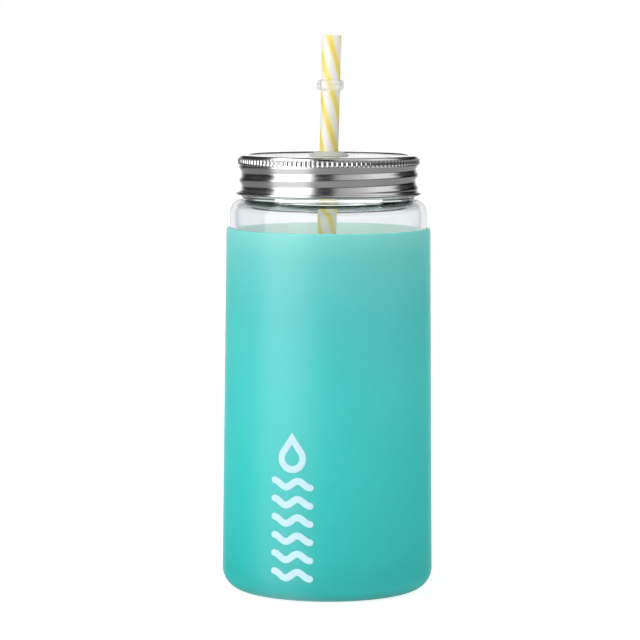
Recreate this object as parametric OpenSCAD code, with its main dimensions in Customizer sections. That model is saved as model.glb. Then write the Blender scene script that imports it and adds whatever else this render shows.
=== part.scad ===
// Glass drinking jar in a silicone sleeve, with a two-piece screw lid and a straw.
// Millimetres. +Z is up, the origin is the centre of the sleeve's base, and the
// printed side faces -Y.

/* [Sleeve] */
// Height of the silicone sleeve
sleeve_h = 141.6; // [130:0.2:144]
// Outer diameter of the sleeve at its rim
sleeve_rim_d = 79.6; // [79.2:0.1:81]
// Outer diameter of the sleeve just above its rounded foot
sleeve_foot_d = 82.3; // [81:0.1:85]
// Radius of the rounded foot
sleeve_foot_r = 8.4; // [7.8:0.1:9]
// Thickness of the sleeve's base
sleeve_base = 2.2; // [1.5:0.1:3]

/* [Printed motif] */
// Width of the motif around the sleeve
print_w = 17; // [12:0.5:22]
// Number of wave strokes under the drop
print_waves = 6; // [3:1:6]
// Height of the lowest stroke's centre
print_z = 11.2; // [11:0.2:20]
// Turn of the motif's centre from the front, towards the left
print_turn = 19.4; // [0:0.1:40]

/* [Glass jar] */
// Outer diameter of the glass body
jar_d = 77; // [76.6:0.1:77.4]
// Thickness of the glass wall
jar_wall = 3.1; // [2.6:0.1:3.6]
// Thickness of the glass base
jar_base = 5; // [3.5:0.1:6]
// Height at which the shoulder starts to round over
shoulder_z = 147.4; // [147:0.1:147.6]
// Radius of the rounded shoulder
shoulder_r = 5.6; // [5.2:0.1:5.7]
// Inner diameter of the mouth
mouth_d = 60.4; // [59:0.1:60.8]
// Turns of thread ridge on the glass
ridge_turns = 1.25; // [0.5:0.05:1.4]

/* [Lid] */
// Diameter over the knurled edge of the screw band
lid_d = 70.8; // [70.6:0.1:71.4]
// Height of the screw band's top face
lid_top_z = 170.1; // [169.9:0.1:170.4]
// Number of ridges around the knurled edge
knurls = 120; // [60:2:140]
// Pitch of the screw thread
thread_pitch = 5.08; // [4.9:0.02:5.2]
// Height of the rolled thread, from groove to crest
thread_h = 0.9; // [0.6:0.05:1]
// Thickness of the lid's sheet steel
sheet = 0.4; // [0.3:0.05:0.45]
// Diameter of the opening in the top of the band
band_opening_d = 63; // [62.6:0.1:64]

/* [Straw] */
// Outer diameter of the straw
straw_d = 7.5; // [6:0.1:8]
// Thickness of the straw's wall
straw_wall = 1; // [0.6:0.1:1.5]
// Length of the straw
straw_len = 209; // [200:1:240]
// Lean of the straw from upright, towards +X
straw_lean = 1.25; // [0:0.05:2]
// Outer diameter of the stop ring
ring_d = 10.4; // [9:0.1:14]
// Height of the stop ring
ring_h = 4.2; // [3:0.1:8]
// Distance from the top of the straw to the middle of the stop ring
ring_drop = 19.4; // [10:0.1:30]
// Diameter of the grommet's top flange
grommet_d = 15.7; // [14:0.1:18]
// Height of the grommet above the lid plate
grommet_h = 1.8; // [1:0.1:3]

/* [Hidden] */
$fn = 96;

slip = 0.1;            // running gap of the jar in its sleeve and of the lid's parts
bore_gap = 0.05;       // running gap of the straw in its grommet
arc_steps = 8;         // facets in each rounded corner

// Sleeve
foot_r = sleeve_foot_d / 2;
rim_r = sleeve_rim_d / 2;
sleeve_bore_r = jar_d / 2 + slip;
sleeve_bore_corner = 6.4;
rim_round = 0.4;

// Printed motif
print_t = 0.12;
stroke = 2.7;
wave_gap = 7;
wave_rise = 1.2;
waves_per_stroke = 1.5;
wave_steps = 24;
drop_r = 5.6;
drop_tip = 10;
drop_z = print_z + print_waves * wave_gap + 2.8;
print_margin = 3;
print_spread = 30;     // half angle of the film that the motif is cut from

// Glass jar
jar_z = sleeve_base;
jar_r = jar_d / 2;
heel_r = 7;
punt_r = 27;
punt_h = 1.5;
punt_edge = 2;
neck_r = 33.3;
finish_r = 33;
neck_bead_r = 34.1;
neck_bead_z = 154.3;
neck_bead_h = 1.7;
mouth_r = mouth_d / 2;
shoulder_cx = jar_r - shoulder_r;
shoulder_end = acos((neck_r - shoulder_cx) / shoulder_r);
ceiling_z = 150.6;     // underside of the shoulder, inside the jar
ceiling_corner = 3.2;
floor_corner = 6;
rim_corner = 1.2;

// Lid, from the top face down
flange_z = lid_top_z - sheet;
disc_top = flange_z - slip;
disc_z = disc_top - sheet;
disc_r = 34;
plate_edge = 0.1;
gasket_h = 0.95;
gasket_z = disc_z - gasket_h;
gasket_r = 33.5;
gasket_inner_r = 31.1;
jar_top = gasket_z - bore_gap;

// Screw band
knurl_r = lid_d / 2;
knurl_root = knurl_r - 0.35;
knurl_top = lid_top_z - 1.15;
knurl_z = knurl_top - 2.75;
knurl_steps = 4;
cap_corner = 1;
crest_r = knurl_r - 0.1;
skirt_top = knurl_z + 0.5;
skirt_bottom = 155.3;
fade_top = 2.4;
fade_bottom = 1.4;
curl_r = 0.65;
curl_cx = 36.5 - curl_r;
flare = 0.35;
flare_h = 1.3;
crest_z = 157.6;       // height of the thread's crest at +X
skirt_turn_steps = 72;
skirt_rise_steps = 14;

// Thread ridge on the glass
ridge_r = crest_r - sheet - 0.4;
ridge_foot = finish_r - 0.3;
ridge_start = 150;     // angle at which the ridge begins
ridge_below = 0.3;     // the tightened band sits this much above the ridge's middle
ridge_base_w = 2.6;
ridge_crest_w = 0.8;
ridge_fade = 30;       // degrees over which each end of the ridge dies away
ridge_steps = 75;

// Straw and grommet
straw_r = straw_d / 2;
straw_stand = 0.3;     // gap under the straw's end
straw_pivot = disc_top;
straw_z = jar_z + jar_base + straw_stand;
straw_below = (straw_pivot - straw_z) / cos(straw_lean);
hole_r = 5.3;
grommet_neck_r = hole_r - 0.05;
grommet_top_r = 5.1;
grommet_lip = 0.4;
grommet_foot_r = 7;
grommet_foot_h = 2;
grommet_foot_chamfer = 0.8;
ring_round = 1.3;

// Points of an arc about [cx, cz], from angle a to angle b
function arc(cx, cz, r, a, b, steps = arc_steps) =
    [for (i = [0:steps]) let (t = a + (b - a) * i / steps) [cx + r * cos(t), cz + r * sin(t)]];

// Outer radius of the drafted sleeve at height z
function sleeve_r(z) =
    foot_r + (rim_r - foot_r) * (z - sleeve_foot_r) / (sleeve_h - sleeve_foot_r);

function clamp01(x) = max(0, min(1, x));
function smooth(x) = let (t = clamp01(x)) t * t * (3 - 2 * t);

// Outer radius of the rolled skirt at angle a and height z
function skirt_r(a, z) =
    let (
        phase = 360 * (z - crest_z) / thread_pitch - a,
        fade = smooth((skirt_top - 0.3 - z) / fade_top) * smooth((z - skirt_bottom - 0.3) / fade_bottom)
    )
    crest_r - thread_h * fade * (1 - cos(phase)) / 2
    + flare * smooth((skirt_bottom + flare_h - z) / flare_h);

// Faces that join rings of n points into a closed tube with flat ends
function ring_faces(rings, n) = concat(
    [for (i = [0:rings - 2], j = [0:n - 1])
        [i * n + j, i * n + (j + 1) % n, (i + 1) * n + (j + 1) % n, (i + 1) * n + j]],
    [[for (j = [n - 1:-1:0]) j], [for (j = [0:n - 1]) (rings - 1) * n + j]]);

// Faces that join rings of n points into a closed loop
function loop_faces(rings, n) =
    [for (i = [0:rings - 1], j = [0:n - 1])
        let (k = (i + 1) % rings)
        [i * n + j, i * n + (j + 1) % n, k * n + (j + 1) % n, k * n + j]];

// ---- Sleeve ----

module silicone_sleeve() {
    color([0.36, 0.80, 0.77])
    rotate_extrude()
    polygon(concat(
        [[0, 0]],
        arc(foot_r - sleeve_foot_r, sleeve_foot_r, sleeve_foot_r, -90, 0),
        arc(rim_r - rim_round, sleeve_h - rim_round, rim_round, 0, 90, 4),
        [[sleeve_bore_r, sleeve_h]],
        arc(sleeve_bore_r - sleeve_bore_corner, sleeve_base + sleeve_bore_corner,
            sleeve_bore_corner, 0, -90),
        [[0, sleeve_base]]));
}

// Outline of a round-ended stroke that waves across the motif
function wave_outline() =
    let (
        reach = (print_w - stroke) / 2,
        turn = 180 * waves_per_stroke / reach,
        line = [for (i = [0:wave_steps])
            let (u = reach * (2 * i / wave_steps - 1))
            [u, wave_rise * sin(turn * u), atan(wave_rise * turn * PI / 180 * cos(turn * u))]],
        first = line[0],
        last = line[wave_steps],
        half = stroke / 2
    )
    concat(
        [for (i = [1:wave_steps - 1]) let (p = line[i]) [p.x + half * sin(p.z), p.y - half * cos(p.z)]],
        arc(last.x, last.y, half, last.z - 90, last.z + 90),
        [for (i = [wave_steps - 1:-1:1]) let (p = line[i]) [p.x - half * sin(p.z), p.y + half * cos(p.z)]],
        arc(first.x, first.y, half, first.z + 90, first.z + 270));

// Outline of a drop: most of a circle, closed by the two tangents that meet at its tip
function drop_outline(r, tip) =
    let (a = acos(r / tip))
    concat([[0, tip]], arc(0, 0, r, 90 + a, 450 - a, 3 * arc_steps));

// Lays its flat child on the sleeve at height z, as a film of ink
module on_sleeve(z) {
    reach = drop_tip + print_margin;
    rotate([0, 0, -print_turn])
    intersection() {
        rotate([0, 0, -90 - print_spread])
        rotate_extrude(angle = 2 * print_spread)
        polygon([[sleeve_r(z - reach), z - reach], [sleeve_r(z - reach) + print_t, z - reach],
                 [sleeve_r(z + reach) + print_t, z + reach], [sleeve_r(z + reach), z + reach]]);
        translate([0, -foot_r / 2, z])
        rotate([90, 0, 0])
        linear_extrude(height = foot_r) children();
    }
}

module sleeve_print() {
    color([0.86, 0.96, 0.98]) {
        for (i = [0:print_waves - 1])
            on_sleeve(print_z + i * wave_gap) polygon(wave_outline());
        on_sleeve(drop_z)
        difference() {
            polygon(drop_outline(drop_r, drop_tip));
            polygon(drop_outline(drop_r - stroke, drop_tip - stroke * drop_tip / drop_r));
        }
    }
}

// ---- Glass ----

// Cross-section of the thread ridge at angle a, with its height scaled by grow
function ridge_ring(a, grow) =
    let (
        z = crest_z - ridge_below + thread_pitch * a / 360,
        top = ridge_foot + (ridge_r - ridge_foot) * grow
    )
    [for (p = [[ridge_foot, -ridge_base_w / 2], [top, -ridge_crest_w / 2],
               [top, ridge_crest_w / 2], [ridge_foot, ridge_base_w / 2]])
        [p.x * cos(a), p.x * sin(a), z + p.y]];

module glass_ridge() {
    span = 360 * ridge_turns;
    rings = [for (i = [0:ridge_steps])
        let (
            t = span * i / ridge_steps,
            grow = 0.1 + 0.9 * smooth(t / ridge_fade) * smooth((span - t) / ridge_fade)
        )
        ridge_ring(ridge_start + t, grow)];
    polyhedron([for (r = rings, p = r) p], ring_faces(len(rings), 4));
}

module glass_jar() {
    color([0.75, 0.92, 0.88, 0.4]) {
        rotate_extrude()
        polygon(concat(
            [[0, jar_z + punt_h], [punt_r - punt_edge, jar_z + punt_h], [punt_r, jar_z]],
            arc(jar_r - heel_r, jar_z + heel_r, heel_r, -90, 0),
            arc(shoulder_cx, shoulder_z, shoulder_r, 0, shoulder_end),
            arc(neck_bead_r - neck_bead_h / 2, neck_bead_z, neck_bead_h / 2, -90, 90),
            [[finish_r, neck_bead_z + neck_bead_h / 2 + 0.2]],
            arc(finish_r - rim_corner, jar_top - rim_corner, rim_corner, 0, 90, 4),
            arc(mouth_r + rim_corner, jar_top - rim_corner, rim_corner, 90, 180, 4),
            arc(mouth_r + 1, ceiling_z + 1, 1, 180, 270, 4),
            arc(jar_r - jar_wall - ceiling_corner, ceiling_z - ceiling_corner, ceiling_corner, 90, 0),
            arc(jar_r - jar_wall - floor_corner, jar_z + jar_base + floor_corner, floor_corner, 0, -90),
            [[0, jar_z + jar_base]]));
        glass_ridge();
    }
}

// ---- Lid ----

// The rolled skirt: rings up the outside, then down the inside
module band_skirt() {
    heights = [for (i = [0:skirt_rise_steps])
        skirt_bottom + (skirt_top - skirt_bottom) * i / skirt_rise_steps];
    n = 2 * len(heights);
    rings = [for (i = [0:skirt_turn_steps - 1])
        let (a = 360 * i / skirt_turn_steps)
        concat(
            [for (z = heights) let (r = skirt_r(a, z)) [r * cos(a), r * sin(a), z]],
            [for (j = [skirt_rise_steps:-1:0])
                let (z = heights[j], r = skirt_r(a, z) - sheet)
                [r * cos(a), r * sin(a), z]])];
    polyhedron([for (r = rings, p = r) p], loop_faces(skirt_turn_steps, n));
}

// Outline of the knurled edge
module knurl_outline() {
    n = knurls * knurl_steps;
    polygon([for (i = [0:n - 1])
        let (a = 360 * i / n, r = knurl_root + (knurl_r - knurl_root) * (1 - cos(a * knurls)) / 2)
        [r * cos(a), r * sin(a)]]);
}

module lid_band() {
    wall_r = knurl_root + 0.05;
    step_r = knurl_r - 0.05;
    inner_r = crest_r - sheet - 0.1;
    color([0.78, 0.78, 0.77]) {
        rotate_extrude()
        polygon(concat(
            [[band_opening_d / 2, flange_z], [inner_r - 0.3, flange_z],
             [inner_r, flange_z - 0.3], [inner_r, knurl_z], [step_r, knurl_z],
             [step_r, knurl_z + 0.55], [wall_r, knurl_z + 0.9]],
            arc(wall_r - cap_corner, lid_top_z - cap_corner, cap_corner, 0, 90),
            [[band_opening_d / 2, lid_top_z]]));
        translate([0, 0, knurl_z + 0.4])
        linear_extrude(height = knurl_top - knurl_z - 0.4)
        difference() {
            knurl_outline();
            circle(r = wall_r - 0.2);
        }
        band_skirt();
        rotate_extrude()
        translate([curl_cx, skirt_bottom]) circle(r = curl_r, $fn = 32);
    }
}

module lid_disc() {
    color([0.82, 0.82, 0.81])
    rotate_extrude()
    polygon([[hole_r, disc_z], [disc_r - plate_edge, disc_z], [disc_r, disc_z + plate_edge],
             [disc_r, disc_top - plate_edge], [disc_r - plate_edge, disc_top], [hole_r, disc_top]]);
}

module lid_gasket() {
    color([0.93, 0.93, 0.90])
    rotate_extrude()
    translate([gasket_inner_r, gasket_z]) square([gasket_r - gasket_inner_r, gasket_h]);
}

module straw_grommet() {
    color([0.90, 0.92, 0.90])
    difference() {
        rotate_extrude()
        polygon([[0, disc_z - grommet_foot_h],
                 [grommet_foot_r - grommet_foot_chamfer, disc_z - grommet_foot_h],
                 [grommet_foot_r, disc_z - grommet_foot_h + grommet_foot_chamfer],
                 [grommet_foot_r, disc_z], [grommet_neck_r, disc_z],
                 [grommet_neck_r, disc_top], [grommet_d / 2, disc_top],
                 [grommet_d / 2, disc_top + grommet_lip],
                 [grommet_top_r, disc_top + grommet_h], [0, disc_top + grommet_h]]);
        along_straw() translate([0, 0, straw_below - 3 * grommet_foot_h])
        cylinder(r = straw_r + bore_gap, h = 6 * grommet_foot_h);
    }
}

// ---- Straw ----

// Places its children with +Z up the straw and the straw's lower end at zero
module along_straw() {
    translate([0, 0, straw_pivot])
    rotate([0, straw_lean, 0])
    translate([0, 0, -straw_below])
    children();
}

module straw() {
    color([0.97, 0.88, 0.45])
    along_straw()
    difference() {
        cylinder(r = straw_r, h = straw_len);
        translate([0, 0, -1]) cylinder(r = straw_r - straw_wall, h = straw_len + 2);
    }
}

module straw_stop_ring() {
    out = ring_d / 2 - ring_round;
    up = ring_h / 2 - ring_round;
    color([0.93, 0.97, 0.96, 0.5])
    along_straw()
    translate([0, 0, straw_len - ring_drop])
    rotate_extrude()
    polygon(concat(
        [[straw_r, -ring_h / 2]],
        arc(out, -up, ring_round, -90, 0, 6),
        arc(out, up, ring_round, 0, 90, 6),
        [[straw_r, ring_h / 2]]));
}

silicone_sleeve();
sleeve_print();
glass_jar();
lid_band();
lid_disc();
lid_gasket();
straw_grommet();
straw();
straw_stop_ring();
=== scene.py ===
"""Glass drinking jar in a turquoise silicone sleeve, with a steel screw lid and a striped straw."""

import math

import bpy
from mathutils import Matrix, Vector


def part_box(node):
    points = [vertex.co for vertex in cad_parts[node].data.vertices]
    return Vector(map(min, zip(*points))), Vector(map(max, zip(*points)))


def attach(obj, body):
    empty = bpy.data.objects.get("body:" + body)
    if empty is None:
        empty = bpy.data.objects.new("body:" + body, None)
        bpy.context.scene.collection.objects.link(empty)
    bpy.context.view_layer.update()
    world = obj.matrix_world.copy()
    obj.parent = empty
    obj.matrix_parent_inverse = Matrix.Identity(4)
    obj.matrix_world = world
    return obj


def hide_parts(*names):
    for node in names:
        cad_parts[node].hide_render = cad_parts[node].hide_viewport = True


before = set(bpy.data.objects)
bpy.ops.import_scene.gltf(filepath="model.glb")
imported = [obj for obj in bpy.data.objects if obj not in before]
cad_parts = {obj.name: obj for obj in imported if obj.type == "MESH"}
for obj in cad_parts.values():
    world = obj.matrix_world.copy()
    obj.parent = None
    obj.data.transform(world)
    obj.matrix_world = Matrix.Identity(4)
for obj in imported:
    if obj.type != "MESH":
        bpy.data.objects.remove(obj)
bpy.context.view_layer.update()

MM = 0.001
TAU = 2 * math.pi
NEAR = 1e-6


# ---------------------------------------------------------------- sizes, in millimetres

def node_box(name):
    """Lowest and highest corner of a CAD node, in millimetres."""
    low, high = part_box(name)
    return low / MM, high / MM


SLEEVE_HIGH = node_box("silicone_sleeve")[1]
JAR_LOW, JAR_HIGH = node_box("glass_jar")
BAND_LOW, BAND_HIGH = node_box("lid_band")
DISC_LOW, DISC_HIGH = node_box("lid_disc")
GASKET_LOW, GASKET_HIGH = node_box("lid_gasket")
GROMMET_LOW, GROMMET_HIGH = node_box("straw_grommet")

# Sleeve
SLEEVE_H = SLEEVE_HIGH.z
FOOT_R = SLEEVE_HIGH.x
RIM_R = 39.8
FOOT_ROUND = 8.4
SLEEVE_BASE = JAR_LOW.z
SLEEVE_FIT = 0.1
SLEEVE_CORNER = 6.4
SLEEVE_RIM_ROUND = 0.45

# Jar
JAR_R = JAR_HIGH.x
JAR_WALL = 3.1
JAR_BASE = 5.0
SHOULDER_Z = 147.4
SHOULDER_R = 5.6
NECK_R = 33.3
FINISH_R = 33.0
MOUTH_R = 30.2
CEILING_Z = 150.6
CEILING_ROUND = 3.2
THROAT_ROUND = 1.2
JAR_TOP = JAR_HIGH.z
LIP_ROUND = 1.3
HEEL_ROUND = 7.0
FLOOR_ROUND = 6.0
PUNT_R = 22.0
PUNT_H = 1.5
NECK_BEAD_R = 34.1
NECK_BEAD_Z = 154.3
NECK_BEAD_ROUND = 0.85
RIDGE_H = 1.4
RIDGE_TURNS = 1.25
RIDGE_START = math.radians(150)

# Lid
PLATE_TOP = DISC_HIGH.z
BAND_TOP = BAND_HIGH.z
KNURL_R = 35.4
KNURLS = 120
KNURL_DEPTH = 0.35
KNURL_LOW = 166.55
KNURL_HIGH = 168.95
SKIRT_HIGH = 166.25
CAP_ROUND = 1.05
FLARE = 0.2
SHEET = 0.4
PITCH = 5.08
THREAD_H = 0.9
THREAD_TOP = 166.4
CREST_R = 35.3
CREST_Z = 157.6
CURL_R = 0.65
CURL_X = BAND_HIGH.x - CURL_R
CURL_Z = BAND_LOW.z + CURL_R
OPENING_R = 31.5
GASKET_INNER_R = 31.1
DISC_R = DISC_HIGH.x
HOLE_R = 5.3

# Straw
LEAN = math.radians(1.25)
STRAW_R = 3.75
STRAW_WALL = 1.0
STRAW_LEN = 209.0
STRIPES = 4
STRIPE_PITCH = 64.0
STRIPE_TURN = math.radians(16.4)
RING_R = 5.2
RING_H = 4.2
RING_DROP = 19.4

# Print
WAVES = 6
WAVE_W = 17.0
WAVE_RISE = 1.2
WAVE_GAP = 7.0
WAVE_FIRST_Z = 11.2
STROKE = 2.7
DROP_R = 5.6
DROP_TIP = 10.0
PRINT_CENTRE = math.radians(-90 - 19.4)
INK_FILM = 0.1


# ---------------------------------------------------------------- mesh helpers

def arc(cx, cz, r, a, b, steps=10):
    """Points of an arc about (cx, cz), from angle a to angle b in degrees."""
    points = []
    for i in range(steps + 1):
        t = math.radians(a + (b - a) * i / steps)
        points.append((cx + r * math.cos(t), cz + r * math.sin(t)))
    return points


def smooth(x):
    """0 below 0, 1 above 1, and an even curve between."""
    t = min(1.0, max(0.0, x))
    return t * t * (3 - 2 * t)


def mesh_object(name, verts, faces, material, sharp=35.0):
    """A smooth-shaded mesh object, with vertices given in millimetres."""
    mesh = bpy.data.meshes.new(name)
    mesh.from_pydata([(x * MM, y * MM, z * MM) for x, y, z in verts], [], faces)
    mesh.validate()
    mesh.update()
    mesh.polygons.foreach_set("use_smooth", [True] * len(mesh.polygons))
    mesh.set_sharp_from_angle(angle=math.radians(sharp))
    mesh.materials.append(material)
    obj = bpy.data.objects.new(name, mesh)
    bpy.context.scene.collection.objects.link(obj)
    return obj


def revolve(name, profile, material, steps=192, radius=None, sharp=35.0):
    """Turns a closed outline of (r, z) about Z. Points at r = 0 become poles.

    radius(i, r, z, angle), where given, returns the radius of outline point i at that angle.
    """
    verts, rings = [], []
    for i, (r, z) in enumerate(profile):
        if r < NEAR:
            rings.append([len(verts)] * steps)
            verts.append((0.0, 0.0, z))
            continue
        start = len(verts)
        for k in range(steps):
            a = TAU * k / steps
            rr = radius(i, r, z, a) if radius else r
            verts.append((rr * math.cos(a), rr * math.sin(a), z))
        rings.append(list(range(start, start + steps)))
    faces = []
    for i, ring in enumerate(rings):
        other = rings[(i + 1) % len(rings)]
        for k in range(steps):
            n = (k + 1) % steps
            corners = [ring[k], ring[n], other[n], other[k]]
            face = list(dict.fromkeys(corners))
            if len(face) > 2:
                faces.append(face)
    return mesh_object(name, verts, faces, material, sharp)


def finish_piece(obj, body, slot, *nodes):
    """Rides a piece on its body and hides the CAD nodes that it stands for. The slot is not used."""
    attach(obj, body)
    if nodes:
        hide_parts(*nodes)
    return obj


# ---------------------------------------------------------------- node helpers

class Nodes:
    """A short way to write a node tree."""

    def __init__(self, owner):
        owner.use_nodes = True
        self.tree = owner.node_tree
        self.tree.nodes.clear()

    def add(self, kind, inputs=None, **settings):
        node = self.tree.nodes.new(kind)
        for key, value in settings.items():
            setattr(node, key, value)
        for key, value in (inputs or {}).items():
            if isinstance(value, bpy.types.NodeSocket):
                self.tree.links.new(value, node.inputs[key])
            else:
                node.inputs[key].default_value = value
        return node

    def math(self, operation, a, b=0.0):
        return self.add("ShaderNodeMath", {0: a, 1: b}, operation=operation).outputs[0]

    def ramp(self, factor, stops):
        node = self.add("ShaderNodeValToRGB", {0: factor})
        elements = node.color_ramp.elements
        while len(elements) < len(stops):
            elements.new(0.5)
        for element, (position, colour) in zip(elements, stops):
            element.position = position
            element.color = (*colour, 1.0)
        return node.outputs[0]

    def map_range(self, value, low, high, to_low=0.0, to_high=1.0):
        sockets = {0: value, 1: low, 2: high, 3: to_low, 4: to_high}
        return self.add("ShaderNodeMapRange", sockets).outputs[0]


def srgb(r, g, b):
    """Linear colour from 0 to 255 display values."""
    def linear(v):
        v /= 255.0
        return v / 12.92 if v <= 0.04045 else ((v + 0.055) / 1.055) ** 2.4
    return (linear(r), linear(g), linear(b))


# ---------------------------------------------------------------- materials

def silicone_material():
    """Matte translucent silicone, with painted light: paler towards the rim and darker towards the foot.
    """
    mat = bpy.data.materials.new("sleeve_silicone")
    n = Nodes(mat)
    place = n.add("ShaderNodeTexCoord").outputs["Object"]
    part = n.add("ShaderNodeSeparateXYZ", {0: place}).outputs
    # painted light: the colour by height is a painted glow and highlight that make the sleeve paler
    # towards the rim, and painted shade that darkens it towards the foot
    height = n.map_range(part[2], 0.0, SLEEVE_H * MM)
    colour = n.ramp(height, [
        (0.0, srgb(2, 138, 132)),
        (0.03, srgb(6, 170, 164)),
        (0.12, srgb(14, 183, 177)),
        (0.33, srgb(38, 193, 187)),
        (0.56, srgb(57, 196, 191)),
        (0.78, srgb(72, 191, 187)),
        (0.93, srgb(98, 194, 190)),
        (0.99, srgb(120, 202, 198)),
    ])
    cloud = n.add("ShaderNodeTexNoise", {"Vector": place, "Scale": 28.0, "Detail": 2.0}).outputs[0]
    cloud_on_painted_light = n.add("ShaderNodeMix", {0: n.map_range(cloud, 0.3, 0.7, 0.0, 0.012), 6: colour,
                                     7: (0.85, 1.0, 0.98, 1.0)}, data_type="RGBA").outputs[2]
    bore = (JAR_R + 0.3) * MM
    flat = n.add("ShaderNodeCombineXYZ", {0: part[0], 1: part[1]}).outputs[0]
    reach = n.add("ShaderNodeVectorMath", {0: flat}, operation="LENGTH").outputs["Value"]
    # painted light: the inside of the sleeve, above its floor, is painted paler, a painted glow that
    # stands in for light coming through the silicone wall
    inside = n.math("MULTIPLY", n.math("LESS_THAN", reach, bore),
                    n.math("GREATER_THAN", part[2], 3 * MM))
    tint = n.add("ShaderNodeMix", {0: inside, 6: cloud_on_painted_light, 7: (*srgb(234, 250, 248), 1.0)},
                 data_type="RGBA").outputs[2]
    grain = n.add("ShaderNodeTexNoise", {"Vector": place, "Scale": 2600.0, "Detail": 2.0}).outputs[0]
    bump = n.add("ShaderNodeBump", {"Strength": 0.12, "Distance": 0.00003, "Height": grain}).outputs[0]
    rough = n.map_range(cloud, 0.3, 0.7, 0.42, 0.50)
    shader = n.add("ShaderNodeBsdfPrincipled", {
        "Base Color": tint, "Roughness": rough, "Normal": bump, "IOR": 1.48,
        "Specular IOR Level": 1.0, "Subsurface Weight": 0.85,
        "Subsurface Radius": (0.6, 1.0, 1.0), "Subsurface Scale": 0.003,
    })
    n.add("ShaderNodeOutputMaterial", {0: shader.outputs[0]})
    return mat


def ink_material():
    """Pale matte ink with a slight speckle."""
    mat = bpy.data.materials.new("print_ink")
    n = Nodes(mat)
    place = n.add("ShaderNodeTexCoord").outputs["Object"]
    speck = n.add("ShaderNodeTexNoise", {"Vector": place, "Scale": 900.0, "Detail": 3.0}).outputs[0]
    colour = n.ramp(speck, [(0.3, srgb(180, 216, 228)), (0.7, srgb(192, 224, 235))])
    bump = n.add("ShaderNodeBump", {"Strength": 0.1, "Distance": 0.00002, "Height": speck}).outputs[0]
    shader = n.add("ShaderNodeBsdfPrincipled", {
        "Base Color": colour, "Roughness": 0.55, "Normal": bump, "Specular IOR Level": 0.35})
    n.add("ShaderNodeOutputMaterial", {0: shader.outputs[0]})
    return mat


def glass_material():
    """Clear soda-lime glass, green through its thickness."""
    mat = bpy.data.materials.new("jar_glass")
    n = Nodes(mat)
    place = n.add("ShaderNodeTexCoord").outputs["Object"]
    wave = n.add("ShaderNodeTexNoise", {"Vector": place, "Scale": 45.0, "Detail": 1.0}).outputs[0]
    bump = n.add("ShaderNodeBump", {"Strength": 0.25, "Distance": 0.0002, "Height": wave}).outputs[0]
    glass = n.add("ShaderNodeBsdfPrincipled", {
        "Base Color": (1.0, 1.0, 1.0, 1.0), "Roughness": 0.0, "Normal": bump, "IOR": 1.5,
        "Transmission Weight": 1.0})
    clear = n.add("ShaderNodeBsdfTransparent", {"Color": (0.82, 0.95, 0.87, 1.0)})
    shadow = n.add("ShaderNodeLightPath").outputs["Is Shadow Ray"]
    surface = n.add("ShaderNodeMixShader", {0: shadow, 1: glass.outputs[0], 2: clear.outputs[0]})
    tint = n.add("ShaderNodeVolumeAbsorption", {"Color": (0.52, 0.88, 0.78, 1.0), "Density": 17.0})
    n.add("ShaderNodeOutputMaterial", {0: surface.outputs[0], 1: tint.outputs[0]})
    return mat


def steel_material(name, colour, roughness, stretch, relief):
    """Bright stainless steel with fine scratches drawn out along stretch."""
    mat = bpy.data.materials.new(name)
    n = Nodes(mat)
    place = n.add("ShaderNodeTexCoord").outputs["Object"]
    part = n.add("ShaderNodeSeparateXYZ", {0: place}).outputs
    turn = n.math("ARCTAN2", part[1], part[0])
    flat = n.math("SQRT", n.math("ADD", n.math("MULTIPLY", part[0], part[0]),
                                 n.math("MULTIPLY", part[1], part[1])))
    coil = n.add("ShaderNodeCombineXYZ", {
        0: n.math("MULTIPLY", turn, stretch[0]),
        1: n.math("MULTIPLY", flat, stretch[1]),
        2: n.math("MULTIPLY", part[2], stretch[2])}).outputs[0]
    lines = n.add("ShaderNodeTexNoise", {"Vector": coil, "Scale": 1.0, "Detail": 4.0,
                                         "Roughness": 0.65}).outputs[0]
    smear = n.add("ShaderNodeTexNoise", {"Vector": place, "Scale": 70.0, "Detail": 3.0}).outputs[0]
    rough = n.math("ADD", n.map_range(lines, 0.3, 0.7, roughness - 0.04, roughness + 0.06),
                   n.map_range(smear, 0.4, 0.7, 0.0, 0.04))
    tint = n.ramp(lines, [(0.3, tuple(c * 0.92 for c in colour)), (0.7, colour)])
    bump = n.add("ShaderNodeBump", {"Strength": relief, "Distance": 0.00002, "Height": lines}).outputs[0]
    shader = n.add("ShaderNodeBsdfPrincipled", {
        "Base Color": tint, "Metallic": 1.0, "Roughness": rough, "Normal": bump})
    n.add("ShaderNodeOutputMaterial", {0: shader.outputs[0]})
    return mat


def soft_clear_material(name, colour, roughness, transmission, radius):
    """Milky silicone or clear moulded plastic."""
    mat = bpy.data.materials.new(name)
    n = Nodes(mat)
    place = n.add("ShaderNodeTexCoord").outputs["Object"]
    cloud = n.add("ShaderNodeTexNoise", {"Vector": place, "Scale": 260.0, "Detail": 2.0}).outputs[0]
    tint = n.ramp(cloud, [(0.3, tuple(c * 0.96 for c in colour)), (0.7, colour)])
    bump = n.add("ShaderNodeBump", {"Strength": 0.1, "Distance": 0.00003, "Height": cloud}).outputs[0]
    shader = n.add("ShaderNodeBsdfPrincipled", {
        "Base Color": tint, "Roughness": roughness, "Normal": bump, "IOR": 1.43,
        "Transmission Weight": transmission, "Subsurface Weight": 0.4,
        "Subsurface Radius": (1.0, 1.0, 1.0), "Subsurface Scale": radius})
    n.add("ShaderNodeOutputMaterial", {0: shader.outputs[0]})
    return mat


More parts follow.
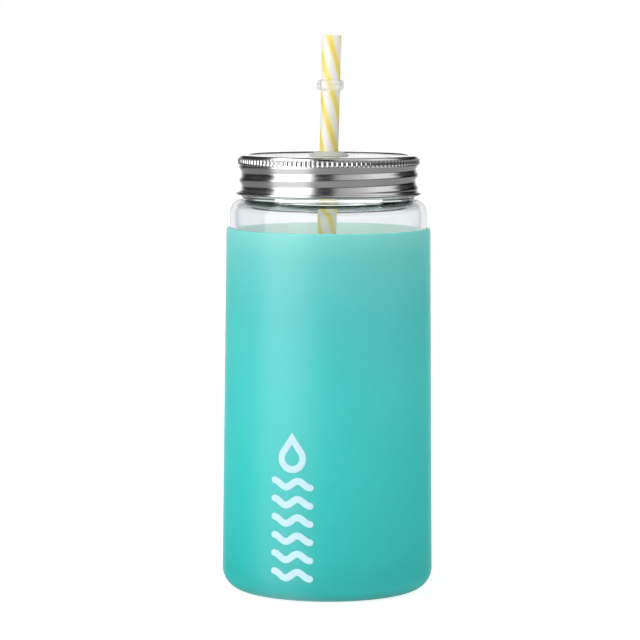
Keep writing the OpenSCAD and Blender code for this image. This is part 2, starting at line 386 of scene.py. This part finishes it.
def ring_material():
    """Clear moulded plastic with a little milk in it, which lets light through to the straw."""
    mat = bpy.data.materials.new("ring_plastic")
    n = Nodes(mat)
    place = n.add("ShaderNodeTexCoord").outputs["Object"]
    cloud = n.add("ShaderNodeTexNoise", {"Vector": place, "Scale": 260.0, "Detail": 2.0}).outputs[0]
    bump = n.add("ShaderNodeBump", {"Strength": 0.1, "Distance": 0.00003, "Height": cloud}).outputs[0]
    tint = n.ramp(cloud, [(0.3, (0.93, 0.93, 0.90)), (0.7, (0.97, 0.97, 0.95))])
    clear = n.add("ShaderNodeBsdfPrincipled", {
        "Base Color": (0.98, 0.98, 0.97, 1.0), "Roughness": 0.05, "Normal": bump, "IOR": 1.3,
        "Transmission Weight": 1.0})
    milk = n.add("ShaderNodeBsdfPrincipled", {
        "Base Color": tint, "Roughness": 0.2, "Normal": bump, "IOR": 1.45,
        "Subsurface Weight": 0.5, "Subsurface Radius": (1.0, 1.0, 1.0), "Subsurface Scale": 0.0005})
    body = n.add("ShaderNodeMixShader", {0: 0.22, 1: clear.outputs[0], 2: milk.outputs[0]})
    gap = n.add("ShaderNodeBsdfTransparent", {"Color": (0.95, 0.95, 0.94, 1.0)})
    shadow = n.add("ShaderNodeLightPath").outputs["Is Shadow Ray"]
    surface = n.add("ShaderNodeMixShader", {0: shadow, 1: body.outputs[0], 2: gap.outputs[0]})
    n.add("ShaderNodeOutputMaterial", {0: surface.outputs[0]})
    return mat


def straw_material():
    """White plastic with yellow stripes that a mesh attribute carries round the straw."""
    mat = bpy.data.materials.new("straw_plastic")
    n = Nodes(mat)
    stripe = n.add("ShaderNodeAttribute", attribute_name="stripe").outputs["Fac"]
    place = n.add("ShaderNodeTexCoord").outputs["Object"]
    cloud = n.add("ShaderNodeTexNoise", {"Vector": place, "Scale": 150.0, "Detail": 2.0}).outputs[0]
    edge = n.math("ADD", stripe, n.map_range(cloud, 0.0, 1.0, -0.06, 0.06))
    colour = n.ramp(edge, [(0.2, srgb(233, 230, 230)), (0.48, srgb(238, 230, 180)),
                           (0.74, srgb(236, 220, 134)), (0.95, srgb(232, 210, 112))])
    shader = n.add("ShaderNodeBsdfPrincipled", {
        "Base Color": colour, "Roughness": 0.28, "IOR": 1.49, "Specular IOR Level": 0.5,
        "Subsurface Weight": 0.3, "Subsurface Radius": (1.0, 0.8, 0.4), "Subsurface Scale": 0.002})
    n.add("ShaderNodeOutputMaterial", {0: shader.outputs[0]})
    return mat


# ---------------------------------------------------------------- pieces

def sleeve_radius(z):
    """Outer radius of the drafted sleeve at height z."""
    return FOOT_R + (RIM_R - FOOT_R) * (z - FOOT_ROUND) / (SLEEVE_H - FOOT_ROUND)


def make_sleeve(material):
    """Drafted skin with a rounded foot, a rounded rim and a straight bore."""
    bore = JAR_R + SLEEVE_FIT
    corner = SLEEVE_CORNER
    rim = SLEEVE_RIM_ROUND
    wall = [(sleeve_radius(z), z) for z in (20.0, 45.0, 70.0, 95.0, 120.0, 132.0)]
    profile = ([(0.0, 0.0)]
               + arc(FOOT_R - FOOT_ROUND, FOOT_ROUND, FOOT_ROUND, -90, 0, 24)
               + wall
               + arc(RIM_R - rim, SLEEVE_H - rim, rim, 0, 90, 8)
               + arc(bore + rim, SLEEVE_H - rim, rim, 90, 180, 8)
               + [(bore, z) for z in (120.0, 80.0, 40.0)]
               + arc(bore - corner, SLEEVE_BASE + corner, corner, 0, -90, 12)
               + [(0.0, SLEEVE_BASE)])
    obj = revolve("silicone_sleeve_skin", profile, material)
    return finish_piece(obj, "sleeve", "sleeve_silicone", "silicone_sleeve")


def make_jar(material):
    """Body, shoulder, neck bead and threaded finish in one outline, outside and in."""
    inner = JAR_R - JAR_WALL
    shoulder_x = JAR_R - SHOULDER_R
    shoulder_end = math.degrees(math.acos((NECK_R - shoulder_x) / SHOULDER_R))
    bead = NECK_BEAD_ROUND
    lip = LIP_ROUND
    finish_low = NECK_BEAD_Z + bead + 0.4
    finish_high = JAR_TOP - lip
    rows = 30
    finish = [(FINISH_R, finish_low + (finish_high - finish_low) * i / rows) for i in range(rows + 1)]
    base = JAR_LOW.z
    hollow, throat = CEILING_ROUND, THROAT_ROUND
    heel, corner = HEEL_ROUND, FLOOR_ROUND
    profile = ([(0.0, base + PUNT_H), (PUNT_R, base + PUNT_H)]
               + arc(PUNT_R, base, PUNT_H, 90, 30, 4)
               + [(PUNT_R + 3.5, base + 0.2)]
               + arc(JAR_R - heel, base + heel, heel, -90, 0, 16)
               + [(JAR_R, z) for z in (40.0, 80.0, 120.0, 135.0)]
               + arc(shoulder_x, SHOULDER_Z, SHOULDER_R, 0, shoulder_end, 20)
               + arc(NECK_BEAD_R - bead, NECK_BEAD_Z, bead, -90, 90, 12)
               + finish
               + arc(FINISH_R - lip, JAR_TOP - lip, lip, 0, 90, 8)
               + arc(MOUTH_R + lip, JAR_TOP - lip, lip, 90, 180, 8)
               + [(MOUTH_R, z) for z in (162.0, 156.0)]
               + arc(MOUTH_R + throat, CEILING_Z + throat, throat, 180, 270, 10)
               + arc(inner - hollow, CEILING_Z - hollow, hollow, 90, 0, 16)
               + [(inner, z) for z in (135.0, 120.0, 80.0, 40.0)]
               + arc(inner - corner, base + JAR_BASE + corner, corner, 0, -90, 12)
               + [(0.0, base + JAR_BASE)])

    def radius(i, r, z, a):
        if abs(r - FINISH_R) > NEAR or not finish_low <= z <= finish_high:
            return r
        height = 0.0
        for turn in range(3):
            t = a + TAU * turn - RIDGE_START
            if 0 <= t <= TAU * RIDGE_TURNS:
                middle = CREST_Z - 0.3 + PITCH * (a + TAU * turn) / TAU
                grow = smooth(t / 0.5) * smooth((TAU * RIDGE_TURNS - t) / 0.5)
                height = max(height, grow * smooth((1.3 - abs(z - middle)) / 0.9))
        return r + RIDGE_H * height

    obj = revolve("glass_jar_body", profile, material, steps=256, radius=radius, sharp=50.0)
    return finish_piece(obj, "jar", "jar_glass", "glass_jar")


def band_outer(r, z, a):
    """Radius of the rolled thread on the band's skirt, over the plain radius r."""
    phase = TAU * (z - CREST_Z) / PITCH - a
    fade = smooth((THREAD_TOP - z) / 2.4) * smooth((z - CURL_Z - 0.3) / 1.5)
    groove = THREAD_H * fade * (1 - math.cos(phase)) / 2
    return r - groove


def make_band(material):
    """Rolled lower edge, threaded skirt, knurled edge and flat top flange of thin sheet."""
    top = BAND_TOP
    corner = CAP_ROUND
    knurl_mid = (KNURL_LOW + KNURL_HIGH) / 2
    knurl_half = (KNURL_HIGH - KNURL_LOW) / 2
    wall_r = KNURL_R - 0.08
    skirt_rows = 46
    knurl_rows = 16
    skirt_low = CURL_Z + 0.6
    skirt = [(CREST_R, skirt_low + (SKIRT_HIGH - CURL_Z - 0.6) * i / skirt_rows)
             for i in range(skirt_rows + 1)]
    # the knurled edge starts on a small rounded step at the top of the skirt
    step = [(CREST_R + 0.01, 166.3), (CREST_R + 0.04, 166.38), (wall_r - 0.01, 166.46)]
    edge = [(wall_r, KNURL_LOW + (KNURL_HIGH - KNURL_LOW) * i / knurl_rows)
            for i in range(knurl_rows + 1)]
    cap = arc(wall_r - corner, top - corner, corner, 15, 90, 10)
    flange = [(33.4, top), (32.7, top), (OPENING_R + 0.7, top), (OPENING_R, top - 0.36)]
    under = [(OPENING_R, top - SHEET), (33.0, top - SHEET), (34.3, top - SHEET),
             (34.7, top - SHEET - 0.4), (34.75, 167.4), (34.8, 166.4)]
    inside = [(CREST_R - SHEET, z) for _, z in reversed(skirt)]
    curl = arc(CURL_X, CURL_Z, CURL_R, 200, 480, 20)
    profile = curl[:-1] + skirt + step + edge + cap + flange + under + inside
    n_curl = len(curl) - 1

    def radius(i, r, z, a):
        if i < n_curl:
            return r
        flare = FLARE * smooth((CURL_Z + 1.4 - z) / 0.8)
        if abs(r - CREST_R) < NEAR:
            return band_outer(r, z, a) + flare
        if abs(r - CREST_R + SHEET) < NEAR:
            return band_outer(r + SHEET, z, a) + flare - SHEET
        if abs(r - wall_r) < NEAR:
            across = abs((a * KNURLS / TAU) % 1.0 - 0.5) * 2
            along = abs(z - knurl_mid) / knurl_half
            dish = 1 - (across / 0.84) ** 2 - max(0.0, (along - 0.45) / 0.5) ** 2
            return r + 0.06 - KNURL_DEPTH * max(0.0, dish)
        return r

    obj = revolve("lid_band_steel", profile, material, steps=KNURLS * 12, radius=radius, sharp=36.0)
    return finish_piece(obj, "band", "band_steel", "lid_band")


def make_disc(material):
    """Flat plate with a rounded rim and a hole for the grommet."""
    low, high = DISC_LOW.z, DISC_HIGH.z
    edge = 0.12
    profile = ([(HOLE_R, low + 0.05), (HOLE_R + 0.05, low), (20.0, low)]
               + arc(DISC_R - edge, low + edge, edge, -90, 0, 5)
               + arc(DISC_R - edge, high - edge, edge, 0, 90, 5)
               + [(20.0, high), (10.0, high), (HOLE_R + 0.05, high), (HOLE_R, high - 0.05)])
    obj = revolve("lid_disc_steel", profile, material, steps=256)
    return finish_piece(obj, "lid", "disc_steel", "lid_disc")


def make_gasket(material):
    """Flat sealing ring with soft corners."""
    low, high = GASKET_LOW.z, GASKET_HIGH.z
    r0, r1 = GASKET_INNER_R, GASKET_HIGH.x
    mid, half = (low + high) / 2, (high - low) / 2
    soft = half * 0.8
    profile = (arc(r1 - soft, mid - half + soft, soft, -90, 0, 6)
               + arc(r1 - soft, mid + half - soft, soft, 0, 90, 6)
               + arc(r0 + soft, mid + half - soft, soft, 90, 180, 6)
               + arc(r0 + soft, mid - half + soft, soft, 180, 270, 6))
    obj = revolve("lid_gasket_ring", profile, material)
    return finish_piece(obj, "lid", "gasket_rubber", "lid_gasket")


def straw_matrix():
    """Places a piece built along +Z from the straw's lower end."""
    pivot = Vector((0.0, 0.0, PLATE_TOP * MM))
    foot = (JAR_LOW.z + JAR_BASE + 0.3) * MM
    below = (pivot.z - foot) / math.cos(LEAN)
    turn = Matrix.Rotation(LEAN, 4, "Y")
    return Matrix.Translation(pivot) @ turn @ Matrix.Translation((0, 0, -below))


def place_on_straw(obj):
    """Moves a mesh built along +Z on to the leaning straw."""
    obj.data.transform(straw_matrix())
    obj.data.update()
    return obj


def make_grommet(material):
    """Soft bush: lower lip, groove for the plate and a domed flange, with a leaning bore."""
    low, high = GROMMET_LOW.z, GROMMET_HIGH.z
    flange_r, foot_r = GROMMET_HIGH.x, 7.0
    neck_r = HOLE_R - 0.05
    bore = STRAW_R + 0.05
    under = PLATE_TOP - SHEET
    profile = ([(bore, low + 0.3), (bore + 0.3, low)]
               + arc(foot_r - 0.8, low + 0.8, 0.8, -90, 0, 6)
               + [(foot_r, under - 0.15), (foot_r - 0.15, under), (neck_r, under), (neck_r, PLATE_TOP)]
               + [(flange_r - 0.1, PLATE_TOP)]
               + arc(flange_r - 0.25, PLATE_TOP + 0.25, 0.25, -60, 70, 6)
               + [(6.4, high - 0.62), (5.6, high - 0.2)]
               + arc(4.9, high - 0.45, 0.45, 60, 90, 4)
               + arc(bore + 0.35, high - 0.35, 0.35, 90, 180, 5))
    slope = math.tan(LEAN)
    obj = revolve("straw_grommet_soft", profile, material, steps=128, sharp=50.0)
    for v in obj.data.vertices:
        flat = math.hypot(v.co.x, v.co.y)
        if flat < (bore + 0.36) * MM:
            v.co.x += (v.co.z - PLATE_TOP * MM) * slope
    return finish_piece(obj, "lid", "grommet_silicone", "straw_grommet")


def make_straw(material):
    """A tube whose columns follow the stripes, so that each stripe edge is a clean helix."""
    columns = STRIPES * 16
    rows = 260
    soft = 0.25
    inner = STRAW_R - STRAW_WALL
    outline = ([(STRAW_R, soft + (STRAW_LEN - 2 * soft) * i / rows) for i in range(rows + 1)]
               + arc(STRAW_R - soft, STRAW_LEN - soft, soft, 15, 90, 5)
               + arc(inner + soft, STRAW_LEN - soft, soft, 90, 180, 5)
               + [(inner, STRAW_LEN * (1 - i / 40)) for i in range(1, 40)]
               + arc(inner + soft, soft, soft, 180, 270, 5)
               + arc(STRAW_R - soft, soft, soft, 270, 345, 5))
    verts, faces, stripe = [], [], []
    for r, z in outline:
        for k in range(columns):
            a = TAU * k / columns - TAU * z / STRIPE_PITCH - STRIPE_TURN
            verts.append((r * math.cos(a), r * math.sin(a), z))
            stripe.append(0.5 + 0.5 * math.cos(STRIPES * TAU * k / columns))
    for i in range(len(outline)):
        j = (i + 1) % len(outline)
        for k in range(columns):
            m = (k + 1) % columns
            faces.append((i * columns + k, i * columns + m, j * columns + m, j * columns + k))
    obj = mesh_object("drinking_straw", verts, faces, material)
    layer = obj.data.attributes.new("stripe", "FLOAT", "POINT")
    layer.data.foreach_set("value", stripe)
    place_on_straw(obj)
    return finish_piece(obj, "straw", "straw_plastic", "straw")


def make_stop_ring(material):
    """Collar with full round edges, close round the straw."""
    soft = 1.3
    out, up = RING_R - soft, RING_H / 2 - soft
    middle = STRAW_LEN - RING_DROP
    profile = ([(STRAW_R + 0.02, middle - RING_H / 2 + 0.15), (STRAW_R + 0.17, middle - RING_H / 2)]
               + arc(out, middle - up, soft, -90, 0, 10)
               + arc(out, middle + up, soft, 0, 90, 10)
               + [(STRAW_R + 0.17, middle + RING_H / 2), (STRAW_R + 0.02, middle + RING_H / 2 - 0.15)])
    obj = revolve("straw_stop_collar", profile, material, steps=96)
    place_on_straw(obj)
    return finish_piece(obj, "straw", "ring_plastic", "straw_stop_ring")


def make_print(material):
    """A column of wave strokes under a drop, as a raised film on the sleeve."""
    drop_z = WAVE_FIRST_Z + WAVES * WAVE_GAP + 2.8
    verts, faces = [], []

    def on_sleeve(u, z, lift):
        """Point u along the surface from the print's centre line, at height z."""
        r = sleeve_radius(z)
        a = PRINT_CENTRE + math.asin(u / r)
        return ((r + lift) * math.cos(a), (r + lift) * math.sin(a), z)

    def strip(rows, closed):
        """Joins rows of points across a stroke, each point (u, z, lift)."""
        start = len(verts)
        n = len(rows[0])
        for row in rows:
            verts.extend(on_sleeve(*p) for p in row)
        for i in range(len(rows) - (0 if closed else 1)):
            j = (i + 1) % len(rows)
            for k in range(n - 1):
                this, other = start + i * n + k, start + j * n + k
                faces.append((this, this + 1, other + 1, other))

    film = INK_FILM
    across = [(-1.0, -0.02), (-0.985, 0.5 * film), (-0.94, film), (-0.5, film), (0.0, film),
              (0.5, film), (0.94, film), (0.985, 0.5 * film), (1.0, -0.02)]

    # each wave is one and a half periods of a sine, with a round cap at each end
    steps = 40
    cap = 10
    reach = (WAVE_W - STROKE) / 2
    turn = 1.5 * math.pi / reach
    for w in range(WAVES):
        z0 = WAVE_FIRST_Z + w * WAVE_GAP
        rows = []
        for i in range(-cap, steps + cap + 1):
            t = min(max(i, 0), steps) / steps
            u = reach * (2 * t - 1)
            lean = math.atan(WAVE_RISE * turn * math.cos(turn * u))
            z = z0 + WAVE_RISE * math.sin(turn * u)
            over = 0.0
            scale = 1.0
            if i < 0 or i > steps:
                far = min(1.0, (-i if i < 0 else i - steps) / cap)
                over = math.sin(far * math.pi / 2) * (-1 if i < 0 else 1)
                scale = max(0.02, math.cos(far * math.pi / 2))
            row = []
            for s, lift in across:
                half = s * STROKE / 2 * scale
                du = over * STROKE / 2
                flat = lift if scale > 0.3 else lift * scale / 0.3
                row.append((u + du * math.cos(lean) - half * math.sin(lean),
                            z + du * math.sin(lean) + half * math.cos(lean), flat))
            rows.append(row)
        strip(rows, False)

    def drop_edge(r, tip, t):
        """Point at t from 0 to 1 round a drop, from its tip and back."""
        a = math.acos(r / tip)
        left = (-r * math.sin(a), r * math.cos(a))
        side = 0.25
        if t < side:
            s = t / side
            return (left[0] * s, tip + (left[1] - tip) * s)
        if t > 1 - side:
            s = (1 - t) / side
            return (-left[0] * s, tip + (left[1] - tip) * s)
        b = math.pi / 2 + a + (TAU - 2 * a) * (t - side) / (1 - 2 * side)
        return (r * math.cos(b), r * math.sin(b))

    inner_r = DROP_R - STROKE
    around = 96
    rows = []
    for i in range(around):
        t = i / around
        outer = drop_edge(DROP_R, DROP_TIP, t)
        inner = drop_edge(inner_r, DROP_TIP * inner_r / DROP_R, t)
        row = []
        for s, lift in across:
            f = (s + 1) / 2
            u = outer[0] + (inner[0] - outer[0]) * f
            row.append((u, drop_z + outer[1] + (inner[1] - outer[1]) * f, lift))
        rows.append(row)
    strip(rows, True)
    obj = mesh_object("sleeve_print_film", verts, faces, material, sharp=60.0)
    return finish_piece(obj, "sleeve", "print_ink", "sleeve_print")


# ---------------------------------------------------------------- studio

def studio_world():
    """White to the camera; softboxes and black flags, by direction, to everything else."""
    world = bpy.data.worlds.new("studio")
    bpy.context.scene.world = world
    n = Nodes(world)
    way = n.add("ShaderNodeSeparateXYZ", {0: n.add("ShaderNodeTexCoord").outputs["Generated"]}).outputs
    half_turn = n.math("ARCTAN2", way[0], n.math("SUBTRACT", 1.0, way[1]))
    around = n.map_range(half_turn, -math.pi / 2, math.pi / 2)

    def at(degrees):
        return (degrees + 180) / 360

    def round_the_room(levels):
        """Light level by bearing: 0 is the camera's side, and 90 is to its right."""
        return n.ramp(around, [(at(d), (v * 0.985, v * 0.985, v)) for d, v in levels])

    def grey(level):
        return (level, level, level, 1.0)

    def blend(factor, first, second):
        return n.add("ShaderNodeMix", {0: factor, 6: first, 7: second}, data_type="RGBA").outputs[2]

    # four bands of the room by height, each with a softbox at the left and a flag at each side
    black = 0.015
    upper = round_the_room([(-176, 1.4), (-150, 0.8), (-143, black), (-78, black), (-72, 2.6), (-26, 2.6),
                            (-19, 0.03), (3, 0.03), (9, 0.55), (40, 0.8), (60, 1.2), (92, 1.2),
                            (106, black), (142, black), (150, 0.8), (176, 1.4)])
    horizon = round_the_room([(-160, 0.7), (-142, 0.06), (-79, 0.06), (-73, 3.8), (-26, 3.8), (-18, 0.05),
                              (16, 0.05), (30, 0.16), (96, 0.12), (106, black), (142, black), (160, 0.7)])
    lower = round_the_room([(-160, 0.7), (-140, 0.3), (-80, 0.3), (-72, 1.25), (-28, 1.25), (-18, 0.45),
                            (22, 0.42), (40, 0.46), (96, 0.4), (142, 0.36), (160, 0.6)])
    high = round_the_room([(-150, 0.6), (-140, 0.04), (-68, 0.04), (-60, 0.1), (-18, 0.1), (-8, 0.9),
                           (92, 1.1), (106, 0.3), (142, 0.3), (150, 0.6)])
    room = blend(n.map_range(way[2], 0.06, 0.36), horizon, upper)
    room = blend(n.map_range(way[2], -0.16, -0.08), lower, room)
    room = blend(n.map_range(way[2], 0.86, 0.93), room, high)
    # the ceiling behind the bottle is dark and the wall behind it is bright
    over = n.math("MULTIPLY", n.map_range(way[1], 0.1, 0.35), n.map_range(way[2], 0.25, 0.4))
    room = blend(over, room, grey(0.07))
    behind = n.math("MULTIPLY", n.map_range(way[1], 0.88, 0.96), n.map_range(way[2], 0.3, 0.2))
    room = blend(behind, room, grey(1.6))
    # what is seen through the glass darkens with the turn that the glass gives the light
    through = n.ramp(around, [(at(d), (v, v * 0.985, v * 1.03)) for d, v in [
        (-174, 0.93), (-166, 0.98), (-157, 0.92), (-149, 0.78), (-141, 0.56), (-125, 0.4),
        (-95, 0.36), (-60, 0.4), (-35, 0.8), (35, 0.8), (60, 0.4), (95, 0.36),
        (125, 0.4), (141, 0.56), (149, 0.78), (157, 0.88), (166, 0.92), (174, 0.88)]])
    # what the clear glass mirrors
    glint = round_the_room([(-150, 1.0), (-110, 0.9), (-80, 0.7), (-76, 3.4), (-25, 3.4),
                            (-20, 2.0), (90, 2.2), (120, 1.4), (150, 1.0)])
    near_level = n.math("MULTIPLY", n.map_range(way[2], -0.34, -0.24),
                        n.map_range(way[2], 0.34, 0.24))
    rays = n.add("ShaderNodeLightPath").outputs
    room = blend(n.math("MULTIPLY", rays["Is Singular Ray"], near_level), room, glint)
    room = blend(rays["Is Transmission Ray"], room, through)
    colour = blend(rays["Is Camera Ray"], room, grey(1.0))
    background = n.add("ShaderNodeBackground", {"Color": colour, "Strength": 1.0})
    n.add("ShaderNodeOutputWorld", {0: background.outputs[0]})


def area_light(name, place, target, size, power):
    """A soft light that fills without showing in the steel."""
    data = bpy.data.lights.new(name, "AREA")
    data.shape = "RECTANGLE"
    data.size, data.size_y = size
    data.energy = power
    obj = bpy.data.objects.new(name, data)
    bpy.context.scene.collection.objects.link(obj)
    obj.location = place
    obj.rotation_euler = (Vector(target) - Vector(place)).to_track_quat("-Z", "Y").to_euler()
    obj.visible_glossy = False
    obj.visible_camera = False


def make_floor():
    """Pale floor that glows a little, so that it runs into the white background."""
    mat = bpy.data.materials.new("floor_white")
    n = Nodes(mat)
    diffuse = n.add("ShaderNodeBsdfDiffuse", {0: (0.4, 0.4, 0.4, 1.0)})
    glow = n.add("ShaderNodeEmission", {0: (1.0, 1.0, 1.0, 1.0), 1: 0.82})
    both = n.add("ShaderNodeAddShader", {0: diffuse.outputs[0], 1: glow.outputs[0]})
    clear = n.add("ShaderNodeBsdfTransparent")
    past_glass = n.add("ShaderNodeLightPath").outputs["Is Transmission Ray"]
    surface = n.add("ShaderNodeMixShader", {0: past_glass, 1: both.outputs[0], 2: clear.outputs[0]})
    n.add("ShaderNodeOutputMaterial", {0: surface.outputs[0]})
    mesh = bpy.data.meshes.new("floor")
    half = 6.0
    corners = [(-half, -half, 0), (half, -half, 0), (half, half, 0), (-half, half, 0)]
    mesh.from_pydata(corners, [], [(0, 1, 2, 3)])
    mesh.materials.append(mat)
    floor = bpy.data.objects.new("floor", mesh)
    bpy.context.scene.collection.objects.link(floor)
    floor.location.z = -0.0002
    floor.visible_glossy = False


def make_camera():
    """Level with the lid and looking slightly down, on a long lens."""
    distance, height = 1.2327, 0.21785
    data = bpy.data.cameras.new("camera")
    data.lens = 178.08
    data.sensor_width = 36.0
    data.clip_start = 0.01
    camera = bpy.data.objects.new("camera", data)
    bpy.context.scene.collection.objects.link(camera)
    pitch = math.radians(90 - 5.21)
    yaw = math.radians(0.147)
    roll = math.radians(0.204)
    camera.matrix_world = (Matrix.Translation((0, -distance, height)) @ Matrix.Rotation(yaw, 4, "Z")
                           @ Matrix.Rotation(pitch, 4, "X") @ Matrix.Rotation(roll, 4, "Z"))
    bpy.context.scene.camera = camera


# ---------------------------------------------------------------- build

def build():
    """Makes every piece with its material."""
    steel = steel_material("band_steel", (0.62, 0.62, 0.615), 0.16, (2.0, 1500.0, 1500.0), 0.18)
    plate = steel_material("disc_steel", (0.86, 0.855, 0.845), 0.26, (3.0, 900.0, 900.0), 0.06)
    make_sleeve(silicone_material())
    make_print(ink_material())
    make_jar(glass_material())
    make_band(steel)
    make_disc(plate)
    make_gasket(soft_clear_material("gasket_rubber", (0.85, 0.85, 0.82), 0.5, 0.0, 0.001))
    make_grommet(soft_clear_material("grommet_silicone", (0.64, 0.66, 0.60), 0.42, 0.12, 0.002))
    make_straw(straw_material())
    make_stop_ring(ring_material())


def studio():
    """Camera, floor, surroundings and lights."""
    make_camera()
    make_floor()
    studio_world()
    middle = (0, 0, 0.1)
    area_light("key", (-0.8, -1.0, 0.9), middle, (0.9, 0.9), 1.15)
    area_light("fill", (1.0, -0.7, 0.6), middle, (0.9, 0.9), 1.7)
    area_light("rear", (0.0, 1.1, 0.8), middle, (1.2, 0.8), 1.5)
    # a small lamp under the lid lights the back of the sleeve through the glass
    area_light("inside", (0, 0, 0.163), (0, 0, 0), (0.045, 0.045), 0.013)
    scene = bpy.context.scene
    scene.view_settings.view_transform = "Standard"
    scene.view_settings.look = "None"
    scene.cycles.max_bounces = 24
    scene.cycles.transmission_bounces = 20
    scene.cycles.transparent_max_bounces = 24


studio()
build()
